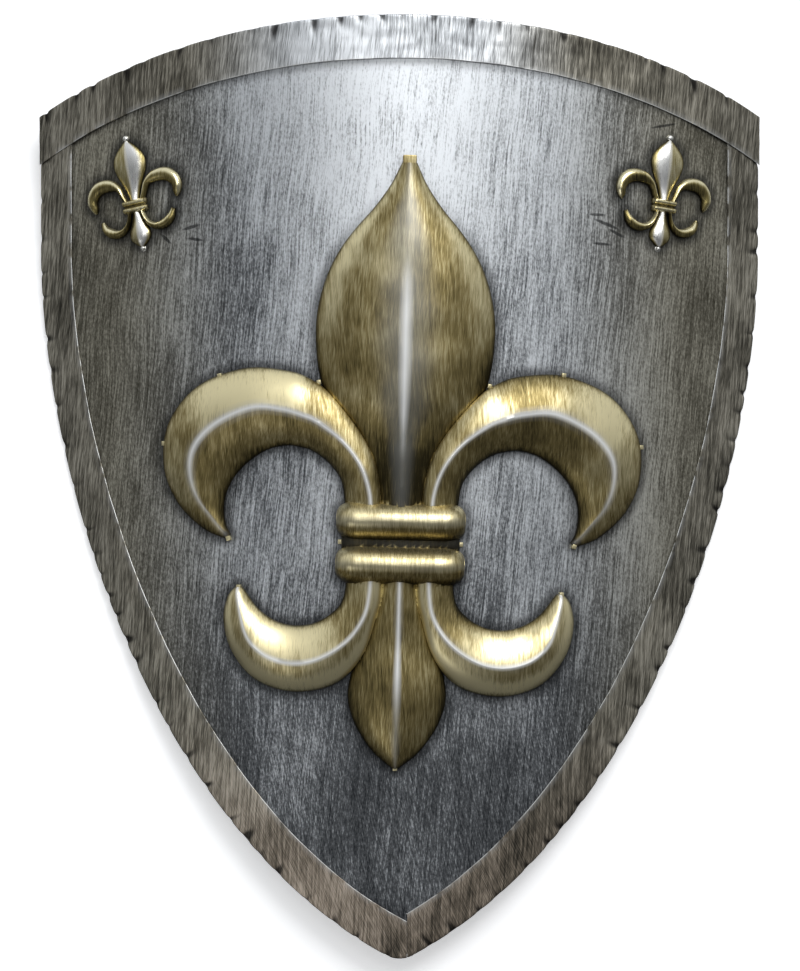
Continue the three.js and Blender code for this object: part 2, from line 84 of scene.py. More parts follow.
def smooth(x, low, high):
    t = min(max((x - low) / (high - low), 0), 1)
    return t * t * (3 - 2 * t)


def mixed(a, b, t):
    return a + (b - a) * t


def ripple(u, v, size, seed):
    return noise.noise(Vector((u / size, v / size, seed * 7.3)))


def bell(x, width):
    return math.exp(-(x / width) ** 2)


def clearSelection():
    if bpy.context.object and bpy.context.object.mode != "OBJECT":
        bpy.ops.object.mode_set(mode="OBJECT")
    bpy.ops.object.select_all(action="DESELECT")


def take(piece):
    clearSelection()
    piece.select_set(True)
    bpy.context.view_layer.objects.active = piece


def newGrid(name, across, along):
    clearSelection()
    bpy.ops.mesh.primitive_grid_add(x_subdivisions=across, y_subdivisions=along, size=1)
    grid = bpy.context.object
    grid.name = grid.data.name = name
    return grid


def editAll():
    bpy.ops.object.mode_set(mode="EDIT")
    bpy.ops.mesh.select_all(action="SELECT")


# Merges doubled points, fills what is open and turns the faces outward
def closeUp(piece, fill=True):
    take(piece)
    editAll()
    bpy.ops.mesh.remove_doubles(threshold=mergeWithin)
    if fill:
        bpy.ops.mesh.fill_holes(sides=0)
        bpy.ops.mesh.select_all(action="SELECT")
    bpy.ops.mesh.normals_make_consistent(inside=False)
    bpy.ops.object.mode_set(mode="OBJECT")


def modify(piece, kind, **values):
    take(piece)
    modifier = piece.modifiers.new(kind.title(), kind)
    for key, value in values.items():
        setattr(modifier, key, value)
    bpy.ops.object.modifier_apply(modifier=modifier.name)


def joinInto(piece, others):
    clearSelection()
    for other in others:
        other.select_set(True)
    piece.select_set(True)
    bpy.context.view_layer.objects.active = piece
    bpy.ops.object.join()


def weldInto(piece, others):
    for other in others:
        modify(piece, "BOOLEAN", operation="UNION", solver="EXACT", object=other)
        bpy.data.objects.remove(other)


def shade(piece, degrees):
    take(piece)
    bpy.ops.object.shade_smooth_by_angle(angle=math.radians(degrees))


def writeValues(piece, name, values):
    layer = piece.data.attributes.new(name, "FLOAT", "POINT")
    layer.data.foreach_set("value", values)


def writeSame(piece, values):
    for name, value in values.items():
        writeValues(piece, name, [value] * len(piece.data.vertices))


def treeOf(points):
    tree = kdtree.KDTree(len(points))
    for i, point in enumerate(points):
        tree.insert(point, i)
    tree.balance()
    return tree


def handOver(piece, node, material):
    piece.data.materials.clear()
    piece.data.materials.append(material)
    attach(piece, "root")
    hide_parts(node)


def onCurve(points, t):
    a, b, c, d = points
    s = 1 - t
    return a * s ** 3 + b * (3 * s * s * t) + c * (3 * s * t * t) + d * t ** 3


def slopeOf(points, t):
    a, b, c, d = points
    s = 1 - t
    return ((b - a) * (s * s) + (c - b) * (2 * s * t) + (d - c) * (t * t)).normalized()


def topEdge(u, inset=0):
    radius = sheet["topArcRadius"]
    return sheet["topV"] - radius + math.sqrt((radius - inset) ** 2 - u * u)


tipPull = Vector((math.sin(sheet["tipAngle"]), math.cos(sheet["tipAngle"]))) * sheet["tipEase"]
sideCurve = [
    Vector((sheet["halfWidth"], sheet["shoulderV"])),
    Vector((sheet["halfWidth"], sheet["shoulderV"] - sheet["sideEase"])),
    Vector((tipPull.x, sheet["tipV"] + tipPull.y)),
    Vector((0, sheet["tipV"])),
]
tipArcStart = math.pi / 2 - sheet["tipAngle"]
tipCentre = Vector((0, sheet["tipV"] + sheet["tipRadius"] / math.sin(sheet["tipAngle"])))


# The right-hand edge from the corner to endU at the tip, as points with the direction into the sheet,
# and how many of them come before the arc of the tip
def sideEdge(endU):
    straight, curved, tipSteps = 60, 360, 14
    edge = []
    for i in range(straight):
        v = mixed(topEdge(sheet["halfWidth"]), sheet["shoulderV"], i / straight)
        edge.append((Vector((sheet["halfWidth"], v)), Vector((-1, 0))))
    for i in range(curved + 1):
        point = onCurve(sideCurve, i / curved)
        along = slopeOf(sideCurve, i / curved)
        if point.x > sheet["tipRadius"] * math.sin(tipArcStart):
            edge.append((point, Vector((along.y, -along.x))))
    onSide = len(edge)
    endAngle = math.asin(endU / sheet["tipRadius"])
    for i in range(tipSteps + 1):
        angle = mixed(tipArcStart, endAngle, i / tipSteps)
        outward = Vector((math.sin(angle), -math.cos(angle)))
        edge.append((tipCentre + outward * sheet["tipRadius"], -outward))
    return edge, onSide


plate = {
    "thickness": 1.2,
    "inset": 2.2,
    "across": 180,
    "along": 190,
    "sink": 0.12,  # mm, keeps the wavy front below what lies on it
    "unevenness": 0.105,  # mm, the waves that rolling leaves
    "ornamentShadeReach": 8,  # mm of patina and painted contact shade round the ornaments
    "stripShade": 7,  # mm of painted shadow below the edging's step, with patina
    "stripShadeAndPatina": 0.8,
    "sideFade": 3,  # the side strips get a weaker painted shadow, as if this much farther off
    "shadeFreeFrom": 130,  # the big petal's upper end gets hardly any of the patina and painted shade round it
    "shadeFreeTo": 195,
    "shadeFreeHalfWidth": 60,
    "shadeFreeShare": 0.85,
}


def plateBottom(edge, u):
    reach = abs(u)
    for (a, inA), (b, inB) in zip(edge, edge[1:]):
        p = a + inA * plate["inset"]
        q = b + inB * plate["inset"]
        if q.x <= reach <= p.x and p.x > q.x:
            return mixed(p.y, q.y, (p.x - reach) / (p.x - q.x))
    return edge[-1][0].y + plate["inset"]


def makePlate(ornamentMarks, material):
    piece = newGrid("shieldPlate", plate["across"], plate["along"])
    edge = sideEdge(0)[0]
    reach = sheet["halfWidth"] - plate["inset"]
    bottoms = {}
    tree = treeOf([(mark["u"], mark["v"], 0) for mark in ornamentMarks])
    shadeAndPatina = []
    for vertex in piece.data.vertices:
        u = mixed(-reach, reach, vertex.co.x + 0.5)
        key = round(u, 3)
        if key not in bottoms:
            bottoms[key] = plateBottom(edge, u)
        v = mixed(bottoms[key], topEdge(u, plate["inset"]), vertex.co.y + 0.5)
        wave = ripple(u, v, 70, 1) + 0.5 * ripple(u, v, 32, 2)
        vertex.co = seat(u, v, plate["thickness"] / 2 - plate["sink"] + plate["unevenness"] * wave)
        # painted shadow below the edging's step, with patina
        near = topEdge(u) - strip["topWidth"] - v
        if v > sheet["shoulderV"]:
            beside = sheet["halfWidth"] - strip["sideWidth"] - abs(u)
            near = min(near, max(beside, 0) + plate["sideFade"])
        stepShadeAndPatina = plate["stripShadeAndPatina"] * (1 - smooth(near, 1, plate["stripShade"]))
        shadeFree = plate["shadeFreeShare"] * smooth(v, plate["shadeFreeFrom"], plate["shadeFreeTo"])
        shadeFree *= smooth(plate["shadeFreeHalfWidth"] - abs(u), 0, 20)
        # painted contact shade, with patina, round the ornaments
        around = 1 - smooth(tree.find((u, v, 0))[2], 0.8, plate["ornamentShadeReach"])
        shadeAndPatina.append(max(around * (1 - shadeFree), stepShadeAndPatina))
    modify(piece, "SOLIDIFY", thickness=plate["thickness"] * mm, offset=-1)
    behind = [0] * len(shadeAndPatina)  # the back's points follow the front's, and stay plain
    writeValues(piece, "shadeAndPatina", shadeAndPatina + behind)
    writeValues(piece, "front", [1] * len(shadeAndPatina) + behind)
    closeUp(piece)
    shade(piece, 30)
    handOver(piece, "shield_plate", material)
    print("plate rolled:", len(piece.data.polygons), "faces")


strip = {
    "sideWidth": 25.5,
    "topWidth": 28.5,
    "backWidth": 14,
    "thickness": 0.8,
    "foldRadius": 0.9,
    "seam": 4.7,  # the left strip ends this far right of the middle
    "lapLift": 1.1,  # how far a strip rises where it laps over another
    "puckerSpacing": 22,
    "puckerGap": (0.55, 1.4),  # least and most, as shares of the spacing
    "puckerDepth": (0.5, 1.2),
    "puckerWidth": (1.5, 3.2),
    "puckerReach": (8, 17),
    "puckerSlant": (-0.3, 0.3),
    "puckerSink": 0.85,  # mm for each mm that a pucker draws the edge in
    "wander": 0.35,  # how far the inner edge strays
    "unevenness": 0.38,
}
stripOut = sheet["frontFace"] + strip["thickness"]


# The outside of a strip's section, from its inner edge over the fold to the back: depth and height
def foldPath(width):
    r = strip["foldRadius"]
    high = stripOut - 0.04
    path = [(width, high - 0.25), (width - 0.25, high)]
    front = 14
    path += [(mixed(width - 0.8, r, (i / front) ** 0.8), high) for i in range(front)]
    for i in range(5):
        angle = math.pi / 2 * i / 4
        path.append((r - r * math.sin(angle), high - r + r * math.cos(angle)))
    path.append((0, 0))
    for i in range(5):
        angle = math.pi / 2 * i / 4
        path.append((r - r * math.cos(angle), -(high - r) - r * math.sin(angle)))
    back = 5
    path += [(mixed(r, strip["backWidth"], i / back), -high) for i in range(1, back + 1)]
    return path


def crimpMarks(length, seed):
    draw = random.Random(seed)
    marks = []
    run = 6
    while run < length:
        marks.append({
            "run": run,
            "depth": draw.uniform(*strip["puckerDepth"]),
            "width": draw.uniform(*strip["puckerWidth"]),
            "reach": draw.uniform(*strip["puckerReach"]),
            "slant": draw.uniform(*strip["puckerSlant"]),
        })
        run += strip["puckerSpacing"] * draw.uniform(*strip["puckerGap"])
    return marks


def crimpAt(marks, run, depth):
    amount = 0
    for mark in marks:
        away = run - mark["run"] - mark["slant"] * depth
        if abs(away) < 3 * mark["width"]:
            amount += mark["depth"] * bell(away, mark["width"]) * (1 - smooth(depth, 0, mark["reach"]))
    return amount


# A folded strip along its stations: outer point, inner point and lift. A side of -1 mirrors them.
def makeStrip(name, stations, width, side, seed):
    path = foldPath(width)
    piece = newGrid(name, len(path) - 1, len(stations) - 1)
    runs = [0]
    for (a, _, _), (b, _, _) in zip(stations, stations[1:]):
        runs.append(runs[-1] + (b - a).length)
    marks = crimpMarks(runs[-1], seed)
    crimps, lipHighlights = [], []
    for vertex in piece.data.vertices:
        i = round((vertex.co.x + 0.5) * (len(path) - 1))
        j = round((vertex.co.y + 0.5) * (len(stations) - 1))
        depth, height = path[i]
        outer, inner, lift = stations[j]
        crimp = crimpAt(marks, runs[j], depth) if height > -0.5 else 0
        wander = strip["wander"] * ripple(runs[j], seed, 28, 3) * smooth(depth, width - 6, width)
        inward = min(depth + crimp * 0.9 * (1 - smooth(depth, 0, 5)) + wander, width + 0.3)
        p = outer + (inner - outer) * (inward / width)
        wave = ripple(runs[j], depth * 2, 24, seed) + 0.6 * ripple(runs[j], depth * 2, 9, seed + 1)
        front = 1 if height > 0 else 0
        out = height + math.copysign(lift, height) * (1 if height else 0)
        sink = crimp * strip["puckerSink"]
        out += front * (strip["unevenness"] * (wave - 0.6) * smooth(depth, 0, 8) - sink)
        vertex.co = seat(side * p.x, p.y, out)
        crimps.append(min(crimp, 1))
        # lip: where the painted highlight along the inner edge goes
        lipHighlights.append(front * smooth(depth, width - 1.1, width - 0.2))
    # crimp also sets the painted shade in each pucker
    writeValues(piece, "crimp", crimps)
    writeValues(piece, "lip", lipHighlights)
    closeUp(piece, fill=False)
    facing = sum(p.area for p in piece.data.polygons if p.normal.z > 0)
    backing = sum(p.area for p in piece.data.polygons if p.normal.z < 0)
    if backing > facing:
        take(piece)
        editAll()
        bpy.ops.mesh.flip_normals()
        bpy.ops.object.mode_set(mode="OBJECT")
    modify(piece, "SOLIDIFY", thickness=strip["thickness"] * 0.9 * mm, offset=-1, use_even_offset=False)
    shade(piece, 40)
    return piece


# Stations of a side strip. Round the tip the inner points stop in the corner by the seam.
def sideStations(endU, liftAt):
    edge, onSide = sideEdge(endU)
    width = strip["sideWidth"]
    lastPoint, lastInward = edge[onSide - 1]
    lastInner = lastPoint + lastInward * width
    along = Vector((-lastInward.y, lastInward.x))
    corner = lastInner + along * ((endU - lastInner.x) / along.x)
    stations = []
    for i, (point, inward) in enumerate(edge):
        inner = point + inward * width
        past = i + 1 - onSide
        if past > 0:
            inner = lastInner.lerp(corner, past / (len(edge) - onSide))
        if inner.x < endU or (past > 0 and lastInner.x < endU):
            inner = corner.copy()
        stations.append((point.copy(), inner, liftAt(point)))
    for key in (0, 1):
        stations[0][key].y = topEdge(stations[0][key].x) - 1.5
    return stations


def topStations():
    width = strip["topWidth"]
    radius = sheet["topArcRadius"]
    centre = Vector((0, sheet["topV"] - radius))
    steps = 320
    stations = []
    for i in range(steps + 1):
        t = 1 - 2 * i / steps
        ends = []
        for r in (radius, radius - width):
            angle = t * math.asin(sheet["halfWidth"] / r)
            ends.append(centre + Vector((math.sin(angle), math.cos(angle))) * r)
        lapStart = sheet["halfWidth"] - strip["sideWidth"]
        lift = strip["lapLift"] * smooth(abs(ends[0].x), lapStart - 45, lapStart - 12)
        stations.append((ends[0], ends[1], lift))
    return stations


def makeStrips(material):
    def leftLift(point):
        return strip["lapLift"] * smooth(-point.x, -60, -20)

    width, seam = strip["sideWidth"], strip["seam"]
    left = makeStrip("leftEdging", sideStations(-seam, leftLift), width, -1, 11)
    right = makeStrip("rightEdging", sideStations(seam + 0.3, lambda p: 0), width, 1, 23)
    top = makeStrip("topEdging", topStations(), strip["topWidth"], -1, 37)
    for piece, node in ((left, "left_rim"), (right, "right_rim"), (top, "top_rim")):
        handOver(piece, node, material)
    print("edging folded:", sum(len(p.data.polygons) for p in (left, right, top)), "faces")


# Control rows from a petal's root to its tip: outer edge, crest, inner edge, each across and up
upperCurl = [
    [(13.5, 12), (19, 12), (36, 12)],
    [(13.5, 32), (20, 31), (37, 28)],
    [(17.5, 52), (26, 49), (40, 41)],
    [(28, 72), (37.5, 64.5), (49, 52)],
    [(47, 95), (53, 76.5), (59, 58.5)],
    [(60, 104.5), (63, 81), (66, 60.5)],
    [(76, 110), (77, 84.8), (75, 61.5)],
    [(105, 111), (96, 85.5), (88, 58.5)],
    [(137, 98.5), (119, 75), (101, 50)],
    [(156.5, 74), (133, 60), (110.5, 39.5)],
    [(159, 46), (136.3, 44), (115.5, 28)],
    [(149, 23), (132, 27), (116.3, 17)],
    [(131, 6.5), (122, 13), (114.5, 8.5)],
    [(115, 0), (113.3, 1.5), (111.5, 3)],
]
lowerLobe = [
    [(11, -12), (18, -12), (34, -12)],
    [(11, -34), (18.7, -33), (35, -30)],
    [(14.5, -49), (21.5, -47.5), (37.5, -39.5)],
    [(22, -72), (29, -60.5), (43, -46)],
    [(36, -89.5), (40, -70.5), (51, -51.5)],
    [(55, -97), (54, -77.5), (60, -54.5)],
    [(76, -97), (69, -79), (71, -54.8)],
    [(96, -88.5), (84, -74.5), (82, -51.5)],
    [(110, -71), (95, -64.5), (91.5, -45)],
    [(115, -52), (100.5, -51), (97.5, -38)],
    [(112.5, -37.5), (104, -38), (100.5, -33.8)],
    [(107.5, -31), (105.3, -30.7), (103, -31)],
]
# Upright petals: half width and up
centrePetal = [
    (17, 12), (19.5, 36), (25, 54), (33, 70), (42, 82), (50, 93), (55.5, 110), (57.8, 128),
    (57.8, 145), (55, 161), (50, 176.5), (42.5, 191), (33, 204), (22, 217), (12, 231.5), (5, 246),
]
tailPetal = [
    (13, -12), (15, -32), (18, -48), (23, -64), (28.5, -80), (31.5, -94), (31, -105),
    (27, -117), (21.5, -126.5), (14.5, -135.5), (7, -142), (1.5, -146),
]
smallCurl = [
    [(3.2, 1), (4.6, 1), (6.5, 1)],
    [(5.8, 7), (7.3, 6.6), (9, 6)],
    [(8.5, 14.5), (10.4, 13), (12, 11.5)],
    [(14, 19.8), (15.1, 16.6), (16.2, 12.8)],
    [(21, 21.6), (21, 17.4), (21, 12.8)],
    [(28, 20.2), (26.6, 15.9), (24.9, 11.5)],
    [(33.3, 15), (30.6, 12), (27.5, 8.9)],
    [(35, 8.5), (31.7, 7.6), (28.2, 6.6)],
    [(33.2, 3), (30.8, 3.2), (28.2, 3.7)],
    [(30.5, 0.3), (29.8, 0.8), (29, 1.4)],
]
smallLobe = [
    [(3, -1), (4.2, -1), (6, -1)],
    [(4.2, -7), (5.2, -6.8), (6.2, -6.5)],
    [(6.5, -13.2), (7.6, -12), (8.8, -10.8)],
    [(10.5, -17.2), (11.6, -15), (12.6, -13)],
    [(16, -18.7), (16.2, -15.7), (16.5, -12.6)],
    [(22, -17.3), (20.7, -14.5), (19.5, -11.2)],
    [(26.3, -13), (24.3, -11.5), (22.6, -9.2)],
    [(27.8, -7), (26.3, -6.3), (25, -6)],
]
smallPetal = [
    (3.2, 1), (3.6, 5), (5, 10), (7.8, 16.5), (10.6, 22.5), (11.9, 28), (11, 33), (7.2, 38.3),
    (1.2, 43.4),
]
smallTail = [(2.6, -1), (3, -6), (5.2, -12), (7.6, -17.5), (7, -22), (3.6, -25.5), (1, -27.2)]


def throughPoints(points, t):
    last = len(points) - 1
    place = last * t
    i = min(int(place), last)
    w = place - i
    before = points[max(i - 1, 0)]
    here = points[i]
    after = points[min(i + 1, last)]
    beyond = points[min(i + 2, last)]
    out = []
    for p0, p1, p2, p3 in zip(before, here, after, beyond):
        a, b = (p2 - p0) / 2, (p3 - p1) / 2
        cubed, squared = 2 * p1 - 2 * p2 + a + b, 3 * p2 - 3 * p1 - 2 * a - b
        out.append(cubed * w ** 3 + squared * w ** 2 + a * w + p1)
    return Vector(out)


# The flank from edge (0) to crest (1): upright at the edge, meeting the other flank in a ridge
def ridgedFlank(s):
    return 0.34 * s + 0.66 * (1 - (1 - s) ** 2.3) ** 0.72


def roundFlank(s):
    return math.sqrt(max(0, 1 - (1 - s) ** 2))


def curledRows(control, count, height, lift):
    rows = []
    for i in range(count + 1):
        t = i / count
        outer, crest, inner = (throughPoints([row[k] for row in control], t) for k in range(3))
        taper = math.sqrt(min(1, (1 - t) / lift["taperLength"]))
        top = height * mixed(lift["root"], 1, smooth(t, 0, 0.4)) * taper
        rows.append({
            "t": t, "left": outer, "crest": crest, "right": inner,
            "leftEdge": lift["edge"] * (1 - smooth(t, lift["start"], lift["end"])),
            "height": max(top, lift["least"]),
        })
    return rows


def uprightRows(control, count, height, rootHeight, least):
    widest = max(half for half, up in control)
    rows = []
    for i in range(count + 1):
        t = i / count
        half, up = throughPoints(control, t)
        nearRoot = 1 - smooth(t, 0.1, 0.4)
        swell = height * math.sqrt(half / widest)
        rows.append({
            "t": t, "left": Vector((-half, up)), "crest": Vector((0, up)), "right": Vector((half, up)),
            "leftEdge": 0, "height": max(least, mixed(swell, rootHeight, nearRoot)),
        })
    return rows


def barRows(middle, reach, halfBreadth, height, endRadius, count):
    rows = []
    for i in range(count + 1):
        x = -reach * math.cos(math.pi * i / count)
        past = max(0, (abs(x) - (reach - endRadius)) / endRadius)
        shrink = math.sqrt(max(0.02, 1 - past * past))
        breadth = halfBreadth * (0.45 + 0.55 * shrink)
        rows.append({
            "t": i / count, "left": Vector((x, middle - breadth)), "crest": Vector((x, middle)),
            "right": Vector((x, middle + breadth)), "leftEdge": 0,
            "height": height * (0.3 + 0.7 * shrink),
        })
    return rows


def mirrored(rows):
    def flip(p):
        return Vector((-p.x, p.y))

    return [{**row, "left": flip(row["left"]), "crest": flip(row["crest"]), "right": flip(row["right"])}
            for row in rows]


def placer(centre, turn):
    c, s = math.cos(turn), math.sin(turn)

    def place(p):
        return Vector((c * p.x - s * p.y + centre.x, s * p.x + c * p.y + centre.y))

    return place


# The seed of each form's dimples
formSeeds = {
    "petal": 1, "tail": 2, "rightCurl": 3, "leftCurl": 4, "rightLobe": 5, "leftLobe": 6,
    "upperRing": 7, "lowerRing": 8, "core": 9,
}


# A closed form on the plate. marks collects what the finish needs to know about each point.
def makeForm(form, rows, place, flank, flankCells, floor, ornament, marks):
    under = 6
    top = 2 * flankCells
    cells = top + 2 + under
    piece = newGrid(form, cells, len(rows) - 1)
    for vertex in piece.data.vertices:
        k = round((vertex.co.x + 0.5) * cells)
        row = rows[round((vertex.co.y + 0.5) * (len(rows) - 1))]
        onTop = 1 <= k <= top + 1
        if onTop:
            q = (k - 1) / flankCells - 1
        elif k == 0:
            q = -1
        else:
            q = 1 - 2 * (k - top - 2) / under
        s = 1 - math.sin(math.pi / 2 * abs(q)) if onTop else 1 - abs(q)
        edge = row["left"] if q < 0 else row["right"]
        p = place(edge.lerp(row["crest"], s))
        if onTop:
            base = ornament["lip"] + (row["leftEdge"] if q < 0 else 0)
            base = min(base, row["height"] * 0.8)
            rise = base + (row["height"] - base) * flank(s)
            dimple = ornament["dimple"] * ripple(p.x, p.y, 19, formSeeds[form])
            rise += dimple * smooth(s, 0, 0.35) * smooth(rise, 2, 8)
            vertex.co = seat(p.x, p.y, sheet["frontFace"] + rise)
            marks.append({
                "co": vertex.co.copy(), "u": p.x, "v": p.y, "form": form, "t": row["t"], "rise": rise,
                "offCrest": (edge.lerp(row["crest"], s) - row["crest"]).length,
                "side": math.copysign(1 - s, q), "share": rise / row["height"],
            })
        else:
            vertex.co = seat(p.x, p.y, floor)
    closeUp(piece)
    return piece


# Makes every form of an ornament, each floor a little lower than the last, and welds them
def weldForms(name, forms, place, ornament, marks):
    pieces = []
    for i, (form, rows, flank, flankCells) in enumerate(forms):
        floor = sheet["floor"] - ornament["floorStep"] * i
        pieces.append(makeForm(form, rows, place, flank, flankCells, floor, ornament, marks))
    fleur = pieces[0]
    weldInto(fleur, pieces[1:])
    fleur.name = fleur.data.name = name
    return fleur


# Finds, for every point of a welded ornament, the nearest mark left while it was formed
def finishValues(piece, marks, recipes):
    tree = treeOf([mark["co"] for mark in marks])
    found = [marks[tree.find(v.co)[1]] for v in piece.data.vertices]
    for name, recipe in recipes.items():
        writeValues(piece, name, [recipe(mark) for mark in found])


def surfaceMatrix(at, towards, centre, turn):  # x away from the ornament's edge, y out of the plate
    place = placer(centre, turn)
    spot = place(Vector(at))
    ahead = place(Vector(at) + Vector(towards).normalized() * 0.5)
    origin = seat(spot.x, spot.y, 0)
    normal = (seat(spot.x, spot.y, 1) - origin).normalized()
    outward = seat(ahead.x, ahead.y, 0) - origin
    outward = (outward - normal * outward.dot(normal)).normalized()
    across = outward.cross(normal)
    turned = Matrix((outward, normal, across)).transposed().to_4x4()
    return Matrix.Translation(origin) @ turned @ Matrix.Scale(mm, 4)


def settle(piece, matrix):  # moves the mesh itself, so the piece's origin stays at zero
    take(piece)
    piece.matrix_world = matrix
    bpy.ops.object.transform_apply(location=True, rotation=True, scale=True)


def copyOf(piece, name):
    twin = piece.copy()
    twin.data = piece.data.copy()
    twin.name = twin.data.name = name
    bpy.context.collection.objects.link(twin)
    return twin


largeFleur = {
    "centre": Vector((0.6, -37.4)),
    "turn": math.radians(-1.4),
    "petalHeight": 17,
    "curlHeight": 14,
    "lobeHeight": 13,
    "tailHeight": 13,
    "bandHeight": 19.6,
    "coreHeight": 7,
    "dimple": 0.55,
    "lip": 0.8,
    "floorStep": 0.015,
    "curlLift": {
        "edge": 6.2, "start": 0.26, "end": 0.42, "taperLength": 0.32, "root": 0.85, "least": 1.8,
    },
    "lobeLift": {
        "edge": 5.5, "start": 0.24, "end": 0.4, "taperLength": 0.3, "root": 0.9, "least": 1.8,
    },
    "tabs": [  # where each tab is and which way it points; the first is the clamp over the petal's tip
        ((0, 246), (0, 1)), ((-121, 105), (-0.3, 1)), ((104, 110.5), (0.1, 1)), ((-158, 61), (-1, 0)),
        ((158, 66), (1, 0.1)), ((-113, 1), (0.3, -1)), ((114, 1), (-0.3, -1)), ((-55, 102), (-0.2, 1)),
        ((55, 102), (0.2, 1)), ((-38, 0), (-1, 0)), ((38, 0), (1, 0)), ((-105, -32), (0, 1)),
        ((106, -32), (0, 1)), ((0, -145), (0, -1)),
    ],
}
tab = {
    "width": 2.8,
    "inside": -0.6,
    "outside": 2.3,
    "top": 2.4,
    "strap": 4.4,
    "thickness": 0.8,
    "clampScale": (2.2, 1.15, 3.2, 1),
    "finish": {"outer": 1, "rise": 0.8},
    "clampFinish": {"outer": 0.2, "rise": 0.8},
}


def makeTab():
    clearSelection()
    bpy.ops.mesh.primitive_cube_add(size=1)
    leg = bpy.context.object
    leg.name = leg.data.name = "tab"
    low = -sheet["frontFace"] - tab["thickness"] + 0.05
    high = sheet["frontFace"] + tab["top"]
    leg.scale = (tab["outside"] - tab["inside"], high - low, tab["width"])
    leg.location = ((tab["outside"] + tab["inside"]) / 2, (high + low) / 2, 0)
    bpy.ops.object.transform_apply(location=True, rotation=True, scale=True)
    editAll()
    bpy.ops.mesh.bisect(plane_co=(0, low + tab["thickness"], 0), plane_no=(0, 1, 0))
    bpy.ops.mesh.select_all(action="DESELECT")
    bpy.ops.object.mode_set(mode="OBJECT")
    for face in leg.data.polygons:
        face.select = face.normal.x < -0.9 and face.center.y < low + tab["thickness"]
    bpy.ops.object.mode_set(mode="EDIT")
    bpy.ops.mesh.select_mode(type="FACE")
    bpy.ops.mesh.extrude_region_move(TRANSFORM_OT_translate={"value": (-tab["strap"], 0, 0)})
    bpy.ops.mesh.select_all(action="SELECT")
    bpy.ops.mesh.bevel(offset=0.28, segments=3, affect="EDGES")
    bpy.ops.mesh.normals_make_consistent(inside=False)
    bpy.ops.object.mode_set(mode="OBJECT")
    return leg


def makeLargeFleur(material):
    o = largeFleur
    place = placer(o["centre"], o["turn"])
    marks = []
    curl = curledRows(upperCurl, 110, o["curlHeight"], o["curlLift"])
    lobe = curledRows(lowerLobe, 84, o["lobeHeight"], o["lobeLift"])
    ring = {"reach": 41, "halfBreadth": 12.8, "height": o["bandHeight"], "endRadius": 13, "count": 44}
    core = {"reach": 38, "halfBreadth": 13, "height": o["coreHeight"], "endRadius": 5, "count": 24}
    forms = [
        ("petal", uprightRows(centrePetal, 110, o["petalHeight"], 13, least=2), ridgedFlank, 18),
        ("tail", uprightRows(tailPetal, 64, o["tailHeight"], 12, least=1.6), ridgedFlank, 15),
        ("rightCurl", curl, ridgedFlank, 14),
        ("leftCurl", mirrored(curl), ridgedFlank, 14),
        ("rightLobe", lobe, ridgedFlank, 13),
        ("leftLobe", mirrored(lobe), ridgedFlank, 13),
        ("upperRing", barRows(14, **ring), roundFlank, 12),
        ("lowerRing", barRows(-14.5, **ring), roundFlank, 12),
        ("core", barRows(0, **core), roundFlank, 8),
    ]
    fleur = weldForms("largeFleurDeLis", forms, place, o, marks)
    finishValues(fleur, marks, {"crest": crestShine, "outer": rubAndPaintedLight, "rise": lowPatinaAndShade, "share": topmost})
    master = makeTab()
    tabs = []
    for i, (at, towards) in enumerate(o["tabs"]):
        twin = copyOf(master, "tab" + str(i))
        if i == 0:
            settle(twin, Matrix.Diagonal(tab["clampScale"]))
        settle(twin, surfaceMatrix(at, towards, o["centre"], o["turn"]))
        writeSame(twin, tab["finish"] if i else tab["clampFinish"])
        tabs.append(twin)
    bpy.data.objects.remove(master)
    joinInto(fleur, tabs)
    shade(fleur, 24)
    handOver(fleur, "large_fleur_de_lis", material)
    print("large fleur-de-lis welded:", len(fleur.data.polygons), "faces")
    return marks


# How far the gold is rubbed bright, with painted highlights and painted shade where the light falls on
# each form; side runs from -1 at the outer edge to 1 at the inner one
def rubAndPaintedLight(m):
    form, t, side = m["form"], m["t"], m["side"]
    if form == "petal":
        # painted highlight where the petal's rounded edges catch the light
        edgeHighlight = 0.5 * smooth(abs(side), 0.62, 0.85) * smooth(t, 0.35, 0.6)
        atRoot = 0.22 * (1 - smooth(t, 0.15, 0.45))
        return 0.14 + edgeHighlight - atRoot + 0.12 * (side < 0) * smooth(t, 0.5, 0.8)
    if form == "tail":
        return -0.1 + 0.2 * (1 - smooth(t, 0.0, 0.3))
    if form == "core":
        return -0.8
    # rings: painted highlight on the upper side, painted shade on the lower
    if form.endswith("Ring"):
        return 0.5 - 0.9 * smooth(-side, 0.1, 0.6)
    onOuter = smooth(-side, -0.1, 0.15)
    # lobes: painted highlight in the upward cup, painted reflection along the lower outline
    if form.endswith("Lobe"):
        cupHighlight = (1 - onOuter) * smooth(t, 0.25, 0.45)
        outlineSheen = smooth(-side, 0.35, 0.8)
        return 0.15 + (0.62 if form == "leftLobe" else 0.42) * cupHighlight + onOuter * (0.3 + 0.9 * outlineSheen)
    # curls: painted highlights on their tops, placed apart on the right curl
    if form == "rightCurl":
        onTop = 0.7 * bell(t - 0.35, 0.06) + 0.75 * bell(t - 0.62, 0.07)
    else:
        onTop = smooth(t, 0.33, 0.45) * (1 - smooth(t, 0.54, 0.70))
    outlineSheen = smooth(-side, 0.7, 0.95) * smooth(t, 0.5, 0.7)
    return onOuter * (0.17 + 0.8 * onTop + 0.1 * outlineSheen) + 0.06


